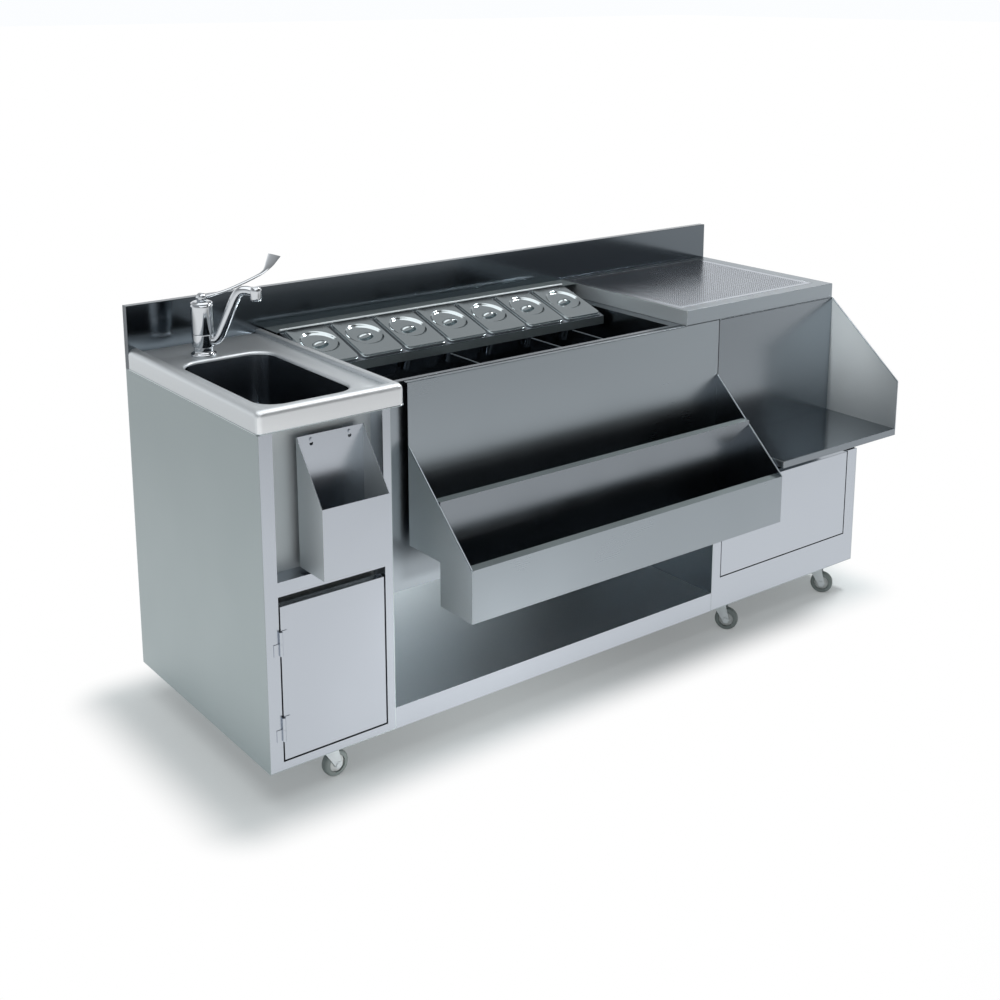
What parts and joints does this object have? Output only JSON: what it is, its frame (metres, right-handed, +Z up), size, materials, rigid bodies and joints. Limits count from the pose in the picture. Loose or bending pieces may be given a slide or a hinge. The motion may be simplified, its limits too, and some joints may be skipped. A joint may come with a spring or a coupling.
{
  "type": "cocktail station",
  "caption": "Mobile stainless steel cocktail station with sink, mixer tap, ice well, lidded garnish pans, speed rail, side shelf and perforated drainer.",
  "frame": {"origin": "on the floor, in the middle of the footprint", "axes": "+X along the length from the sink to the drainer, +Y from the front to the backsplash, +Z up"},
  "size_m": [1.9, 0.776, 1.0843],
  "materials": {
    "stainless": "satin",
    "chrome": "polished",
    "zinc": "bright",
    "grey_rubber": "matte"
  },
  "bodies": {
    "station": {"left_cabinet_shell": "stainless", "left_front_frame": "stainless", "hinge_pins": "stainless", "sink_top": "stainless", "sink_bowl": "stainless", "sink_waste": "stainless", "hanging_fittings": "stainless", "backsplash": "stainless", "back_panel": "stainless", "ice_well": "stainless", "well_drain": "stainless", "well_housing": "stainless", "drainer_frame": "stainless", "drip_pan": "stainless", "base_shelf": "stainless", "right_cabinet_shell": "stainless", "right_front_frame": "stainless", "waste_bin": "stainless", "pan_rack": "stainless", "tap_body": "chrome", "caster_plates": "zinc"},
    "door": {"left_door": "stainless", "hinge_sleeves": "stainless"},
    "spout": {"tap_spout": "chrome"},
    "tap_cap": {"tap_cap": "chrome"},
    "tap_lever": {"tap_lever": "chrome"},
    "cap_box": {"cap_box": "stainless"},
    "speed_rail": {"speed_rail": "stainless"},
    "bar_shelf": {"bar_shelf": "stainless"},
    "tray": {"perforated_tray": "stainless"},
    "flap": {"waste_flap": "stainless"},
    "divider_1": {"well_divider_1": "stainless"},
    "divider_2": {"well_divider_2": "stainless"},
    "divider_3": {"well_divider_3": "stainless"},
    "pan_1": {"pan_1": "stainless"},
    "lid_1": {"lid_1": "stainless"},
    "pan_2": {"pan_2": "stainless"},
    "lid_2": {"lid_2": "stainless"},
    "pan_3": {"pan_3": "stainless"},
    "lid_3": {"lid_3": "stainless"},
    "pan_4": {"pan_4": "stainless"},
    "lid_4": {"lid_4": "stainless"},
    "pan_5": {"pan_5": "stainless"},
    "lid_5": {"lid_5": "stainless"},
    "pan_6": {"pan_6": "stainless"},
    "lid_6": {"lid_6": "stainless"},
    "pan_7": {"pan_7": "stainless"},
    "lid_7": {"lid_7": "stainless"},
    "fork_1": {"caster_fork_1": "zinc"},
    "wheel_1": {"caster_wheel_1": "grey_rubber"},
    "fork_2": {"caster_fork_2": "zinc"},
    "wheel_2": {"caster_wheel_2": "grey_rubber"},
    "fork_3": {"caster_fork_3": "zinc"},
    "wheel_3": {"caster_wheel_3": "grey_rubber"},
    "fork_4": {"caster_fork_4": "zinc"},
    "wheel_4": {"caster_wheel_4": "grey_rubber"},
    "fork_5": {"caster_fork_5": "zinc"},
    "wheel_5": {"caster_wheel_5": "grey_rubber"},
    "fork_6": {"caster_fork_6": "zinc"},
    "wheel_6": {"caster_wheel_6": "grey_rubber"}
  },
  "joints": [
    {"name": "door_hinge", "type": "hinge", "parent": "station", "child": "door", "pos_m": [-0.91575, -0.266, 0.28], "axis": [0, 0, -1], "range_deg": [0, 110]},
    {"name": "spout_swivel", "type": "hinge", "parent": "station", "child": "spout", "pos_m": [-0.815, 0.25, 0.912], "axis": [0, 0, 1], "range_deg": [-60, 20]},
    {"name": "tap_turn", "type": "hinge", "parent": "station", "child": "tap_cap", "pos_m": [-0.815, 0.25, 1], "axis": [0, 0, 1], "range_deg": [-15, 45]},
    {"name": "lever_lift", "type": "hinge", "parent": "tap_cap", "child": "tap_lever", "pos_m": [-0.815, 0.25, 1.0113], "axis": [0.1045, -0.9945, 0], "range_deg": [0, 25]},
    {"name": "cap_box_lift", "type": "slide", "parent": "station", "child": "cap_box", "axis": [0, 0, 1], "range_m": [0, 0.009]},
    {"name": "rail_lift", "type": "slide", "parent": "station", "child": "speed_rail", "axis": [0, 0, 1], "range_m": [0, 0.015]},
    {"name": "shelf_lift", "type": "slide", "parent": "station", "child": "bar_shelf", "axis": [0, 0, 1], "range_m": [0, 0.015]},
    {"name": "tray_lift", "type": "slide", "parent": "station", "child": "tray", "axis": [0, 0, 1], "range_m": [0, 0.1]},
    {"name": "flap_swing", "type": "hinge", "parent": "station", "child": "flap", "pos_m": [0.656, -0.254, 0.415], "axis": [1, 0, 0], "range_deg": [0, 50]},
    {"name": "divider_lift_1", "type": "slide", "parent": "station", "child": "divider_1", "axis": [0, 0, 1], "range_m": [0, 0.09]},
    {"name": "divider_lift_2", "type": "slide", "parent": "station", "child": "divider_2", "axis": [0, 0, 1], "range_m": [0, 0.09]},
    {"name": "divider_lift_3", "type": "slide", "parent": "station", "child": "divider_3", "axis": [0, 0, 1], "range_m": [0, 0.09]},
    {"name": "pan_lift_1", "type": "slide", "parent": "station", "child": "pan_1", "axis": [0, -0.2924, 0.9563], "range_m": [0, 0.15]},
    {"name": "lid_lift_1", "type": "slide", "parent": "pan_1", "child": "lid_1", "axis": [0, -0.2924, 0.9563], "range_m": [0, 0.15]},
    {"name": "pan_lift_2", "type": "slide", "parent": "station", "child": "pan_2", "axis": [0, -0.2924, 0.9563], "range_m": [0, 0.15]},
    {"name": "lid_lift_2", "type": "slide", "parent": "pan_2", "child": "lid_2", "axis": [0, -0.2924, 0.9563], "range_m": [0, 0.15]},
    {"name": "pan_lift_3", "type": "slide", "parent": "station", "child": "pan_3", "axis": [0, -0.2924, 0.9563], "range_m": [0, 0.15]},
    {"name": "lid_lift_3", "type": "slide", "parent": "pan_3", "child": "lid_3", "axis": [0, -0.2924, 0.9563], "range_m": [0, 0.15]},
    {"name": "pan_lift_4", "type": "slide", "parent": "station", "child": "pan_4", "axis": [0, -0.2924, 0.9563], "range_m": [0, 0.15]},
    {"name": "lid_lift_4", "type": "slide", "parent": "pan_4", "child": "lid_4", "axis": [0, -0.2924, 0.9563], "range_m": [0, 0.15]},
    {"name": "pan_lift_5", "type": "slide", "parent": "station", "child": "pan_5", "axis": [0, -0.2924, 0.9563], "range_m": [0, 0.15]},
    {"name": "lid_lift_5", "type": "slide", "parent": "pan_5", "child": "lid_5", "axis": [0, -0.2924, 0.9563], "range_m": [0, 0.15]},
    {"name": "pan_lift_6", "type": "slide", "parent": "station", "child": "pan_6", "axis": [0, -0.2924, 0.9563], "range_m": [0, 0.15]},
    {"name": "lid_lift_6", "type": "slide", "parent": "pan_6", "child": "lid_6", "axis": [0, -0.2924, 0.9563], "range_m": [0, 0.15]},
    {"name": "pan_lift_7", "type": "slide", "parent": "station", "child": "pan_7", "axis": [0, -0.2924, 0.9563], "range_m": [0, 0.15]},
    {"name": "lid_lift_7", "type": "slide", "parent": "pan_7", "child": "lid_7", "axis": [0, -0.2924, 0.9563], "range_m": [0, 0.15]},
    {"name": "caster_swivel_1", "type": "hinge", "parent": "station", "child": "fork_1", "pos_m": [-0.79, -0.22, 0.072], "axis": [0, 0, 1], "continuous": true},
    {"name": "wheel_spin_1", "type": "hinge", "parent": "fork_1", "child": "wheel_1", "pos_m": [-0.76808, -0.21808, 0.031], "axis": [-0.0872, 0.9962, 0], "continuous": true},
    {"name": "caster_swivel_2", "type": "hinge", "parent": "station", "child": "fork_2", "pos_m": [0.446, -0.22, 0.072], "axis": [0, 0, 1], "continuous": true},
    {"name": "wheel_spin_2", "type": "hinge", "parent": "fork_2", "child": "wheel_2", "pos_m": [0.45862, -0.23802, 0.031], "axis": [0.8192, 0.5736, 0], "continuous": true},
    {"name": "caster_swivel_3", "type": "hinge", "parent": "station", "child": "fork_3", "pos_m": [0.841, -0.22, 0.072], "axis": [0, 0, 1], "continuous": true},
    {"name": "wheel_spin_3", "type": "hinge", "parent": "fork_3", "child": "wheel_3", "pos_m": [0.85362, -0.23802, 0.031], "axis": [0.8192, 0.5736, 0], "continuous": true},
    {"name": "caster_swivel_4", "type": "hinge", "parent": "station", "child": "fork_4", "pos_m": [-0.79, 0.338, 0.072], "axis": [0, 0, 1], "continuous": true},
    {"name": "wheel_spin_4", "type": "hinge", "parent": "fork_4", "child": "wheel_4", "pos_m": [-0.77095, 0.327, 0.031], "axis": [0.5, 0.866, 0], "continuous": true},
    {"name": "caster_swivel_5", "type": "hinge", "parent": "station", "child": "fork_5", "pos_m": [0.446, 0.338, 0.072], "axis": [0, 0, 1], "continuous": true},
    {"name": "wheel_spin_5", "type": "hinge", "parent": "fork_5", "child": "wheel_5", "pos_m": [0.45352, 0.31733, 0.031], "axis": [0.9397, 0.342, 0], "continuous": true},
    {"name": "caster_swivel_6", "type": "hinge", "parent": "station", "child": "fork_6", "pos_m": [0.841, 0.338, 0.072], "axis": [0, 0, 1], "continuous": true},
    {"name": "wheel_spin_6", "type": "hinge", "parent": "fork_6", "child": "wheel_6", "pos_m": [0.85362, 0.31998, 0.031], "axis": [0.8192, 0.5736, 0], "continuous": true}
  ]
}
